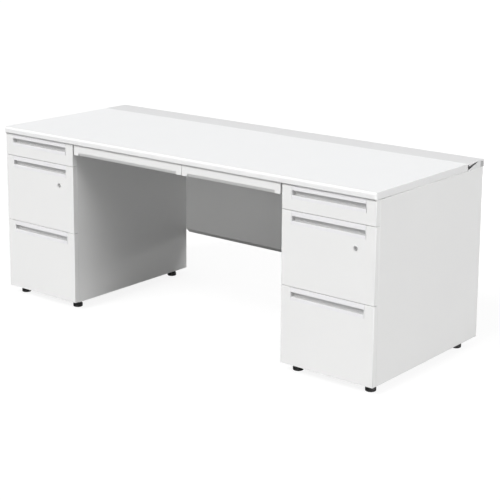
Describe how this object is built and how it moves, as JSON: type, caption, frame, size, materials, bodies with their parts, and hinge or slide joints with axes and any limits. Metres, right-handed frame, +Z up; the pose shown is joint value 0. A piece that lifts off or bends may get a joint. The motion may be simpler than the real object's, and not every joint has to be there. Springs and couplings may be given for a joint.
{
  "type": "pedestal desk",
  "caption": "Steel office desk with a drawer pedestal at each side, shallow centre drawers over the knee space, a modesty panel and a lidded wiring duct along the rear edge.",
  "frame": {"origin": "on the floor under the middle of the desk", "axes": "+Z up, +X along the width to the sitter's right, the sitter's side faces -Y"},
  "size_m": [1.8, 0.7, 0.7],
  "materials": {
    "white_steel": "satin powder coat",
    "white_board": "matt white laminate",
    "white_edge": "satin",
    "grip_plastic": "satin",
    "zinc_steel": "zinc plated",
    "tray_steel": "satin powder coat",
    "pen_plastic": "fine grain",
    "lock_metal": "nickel plated",
    "black_plastic": "matt"
  },
  "bodies": {
    "desk_frame": {"worktop": "white_board", "worktop_edges": "white_edge", "left_end_panel": "white_steel", "left_inner_panel": "white_steel", "left_back_panel": "white_steel", "left_bottom_pan": "white_steel", "right_end_panel": "white_steel", "right_inner_panel": "white_steel", "right_back_panel": "white_steel", "right_bottom_pan": "white_steel", "cabinet_rails": "zinc_steel", "rail_posts": "zinc_steel", "tie_rails": "white_steel", "centre_guides": "zinc_steel", "modesty_panel": "white_steel", "modesty_straps": "white_steel", "wiring_duct": "white_steel", "duct_hinge_pins": "zinc_steel"},
    "left_top_drawer": {"left_top_front": "white_steel", "left_top_pull": "grip_plastic", "left_top_tray": "tray_steel", "left_pen_tray": "pen_plastic"},
    "left_file_drawer": {"left_file_front": "white_steel", "left_file_pull": "grip_plastic", "left_file_tray": "tray_steel", "left_lock_case": "lock_metal"},
    "left_file_middle_rails": {"left_file_middle_rails": "zinc_steel"},
    "left_deep_drawer": {"left_deep_front": "white_steel", "left_deep_pull": "grip_plastic", "left_deep_tray": "tray_steel"},
    "left_deep_middle_rails": {"left_deep_middle_rails": "zinc_steel"},
    "left_lock_plug": {"left_lock_plug": "lock_metal"},
    "left_centre_drawer": {"left_centre_front": "white_steel", "left_centre_tray": "tray_steel"},
    "left_duct_lid": {"left_duct_lid": "white_steel"},
    "left_outer_front_leveller": {"left_outer_front_leveller": "black_plastic"},
    "left_outer_rear_leveller": {"left_outer_rear_leveller": "black_plastic"},
    "left_inner_front_leveller": {"left_inner_front_leveller": "black_plastic"},
    "left_inner_rear_leveller": {"left_inner_rear_leveller": "black_plastic"},
    "right_top_drawer": {"right_top_front": "white_steel", "right_top_pull": "grip_plastic", "right_top_tray": "tray_steel", "right_pen_tray": "pen_plastic"},
    "right_file_drawer": {"right_file_front": "white_steel", "right_file_pull": "grip_plastic", "right_file_tray": "tray_steel", "right_lock_case": "lock_metal"},
    "right_file_middle_rails": {"right_file_middle_rails": "zinc_steel"},
    "right_deep_drawer": {"right_deep_front": "white_steel", "right_deep_pull": "grip_plastic", "right_deep_tray": "tray_steel"},
    "right_deep_middle_rails": {"right_deep_middle_rails": "zinc_steel"},
    "right_lock_plug": {"right_lock_plug": "lock_metal"},
    "right_centre_drawer": {"right_centre_front": "white_steel", "right_centre_tray": "tray_steel"},
    "right_duct_lid": {"right_duct_lid": "white_steel"},
    "right_outer_front_leveller": {"right_outer_front_leveller": "black_plastic"},
    "right_outer_rear_leveller": {"right_outer_rear_leveller": "black_plastic"},
    "right_inner_front_leveller": {"right_inner_front_leveller": "black_plastic"},
    "right_inner_rear_leveller": {"right_inner_rear_leveller": "black_plastic"}
  },
  "joints": [
    {"name": "left_top_drawer_slide", "type": "slide", "parent": "desk_frame", "child": "left_top_drawer", "axis": [0, -1, 0], "range_m": [0, 0.4]},
    {"name": "left_file_drawer_slide", "type": "slide", "parent": "desk_frame", "child": "left_file_drawer", "axis": [0, -1, 0], "range_m": [0, 0.5]},
    {"name": "left_file_middle_rails_slide", "type": "slide", "parent": "desk_frame", "child": "left_file_middle_rails", "axis": [0, -1, 0], "range_m": [0, 0.25]},
    {"name": "left_deep_drawer_slide", "type": "slide", "parent": "desk_frame", "child": "left_deep_drawer", "axis": [0, -1, 0], "range_m": [0, 0.5]},
    {"name": "left_deep_middle_rails_slide", "type": "slide", "parent": "desk_frame", "child": "left_deep_middle_rails", "axis": [0, -1, 0], "range_m": [0, 0.25]},
    {"name": "left_lock_turn", "type": "hinge", "parent": "left_file_drawer", "child": "left_lock_plug", "pos_m": [-0.591, -0.342, 0.5005], "axis": [0, 1, 0], "range_deg": [0, 90]},
    {"name": "left_centre_drawer_slide", "type": "slide", "parent": "desk_frame", "child": "left_centre_drawer", "axis": [0, -1, 0], "range_m": [0, 0.3]},
    {"name": "left_duct_lid_hinge", "type": "hinge", "parent": "desk_frame", "child": "left_duct_lid", "pos_m": [-0.45, 0.343, 0.693], "axis": [-1, 0, 0], "range_deg": [0, 90]},
    {"name": "left_outer_front_leveller_turn", "type": "hinge", "parent": "desk_frame", "child": "left_outer_front_leveller", "pos_m": [-0.858, -0.29, 0], "axis": [0, 0, 1], "continuous": true},
    {"name": "left_outer_rear_leveller_turn", "type": "hinge", "parent": "desk_frame", "child": "left_outer_rear_leveller", "pos_m": [-0.858, 0.27, 0], "axis": [0, 0, 1], "continuous": true},
    {"name": "left_inner_front_leveller_turn", "type": "hinge", "parent": "desk_frame", "child": "left_inner_front_leveller", "pos_m": [-0.553, -0.29, 0], "axis": [0, 0, 1], "continuous": true},
    {"name": "left_inner_rear_leveller_turn", "type": "hinge", "parent": "desk_frame", "child": "left_inner_rear_leveller", "pos_m": [-0.553, 0.27, 0], "axis": [0, 0, 1], "continuous": true},
    {"name": "right_top_drawer_slide", "type": "slide", "parent": "desk_frame", "child": "right_top_drawer", "axis": [0, -1, 0], "range_m": [0, 0.4]},
    {"name": "right_file_drawer_slide", "type": "slide", "parent": "desk_frame", "child": "right_file_drawer", "axis": [0, -1, 0], "range_m": [0, 0.5]},
    {"name": "right_file_middle_rails_slide", "type": "slide", "parent": "desk_frame", "child": "right_file_middle_rails", "axis": [0, -1, 0], "range_m": [0, 0.25]},
    {"name": "right_deep_drawer_slide", "type": "slide", "parent": "desk_frame", "child": "right_deep_drawer", "axis": [0, -1, 0], "range_m": [0, 0.5]},
    {"name": "right_deep_middle_rails_slide", "type": "slide", "parent": "desk_frame", "child": "right_deep_middle_rails", "axis": [0, -1, 0], "range_m": [0, 0.25]},
    {"name": "right_lock_turn", "type": "hinge", "parent": "right_file_drawer", "child": "right_lock_plug", "pos_m": [0.82, -0.342, 0.5005], "axis": [0, 1, 0], "range_deg": [0, 90]},
    {"name": "right_centre_drawer_slide", "type": "slide", "parent": "desk_frame", "child": "right_centre_drawer", "axis": [0, -1, 0], "range_m": [0, 0.3]},
    {"name": "right_duct_lid_hinge", "type": "hinge", "parent": "desk_frame", "child": "right_duct_lid", "pos_m": [0.45, 0.343, 0.693], "axis": [-1, 0, 0], "range_deg": [0, 90]},
    {"name": "right_outer_front_leveller_turn", "type": "hinge", "parent": "desk_frame", "child": "right_outer_front_leveller", "pos_m": [0.858, -0.29, 0], "axis": [0, 0, 1], "continuous": true},
    {"name": "right_outer_rear_leveller_turn", "type": "hinge", "parent": "desk_frame", "child": "right_outer_rear_leveller", "pos_m": [0.858, 0.27, 0], "axis": [0, 0, 1], "continuous": true},
    {"name": "right_inner_front_leveller_turn", "type": "hinge", "parent": "desk_frame", "child": "right_inner_front_leveller", "pos_m": [0.553, -0.29, 0], "axis": [0, 0, 1], "continuous": true},
    {"name": "right_inner_rear_leveller_turn", "type": "hinge", "parent": "desk_frame", "child": "right_inner_rear_leveller", "pos_m": [0.553, 0.27, 0], "axis": [0, 0, 1], "continuous": true}
  ],
  "couplings": [
    {"joint": "left_file_middle_rails_slide", "follows": "left_file_drawer_slide", "ratio": 0.5},
    {"joint": "left_deep_middle_rails_slide", "follows": "left_deep_drawer_slide", "ratio": 0.5},
    {"joint": "right_file_middle_rails_slide", "follows": "right_file_drawer_slide", "ratio": 0.5},
    {"joint": "right_deep_middle_rails_slide", "follows": "right_deep_drawer_slide", "ratio": 0.5}
  ]
}
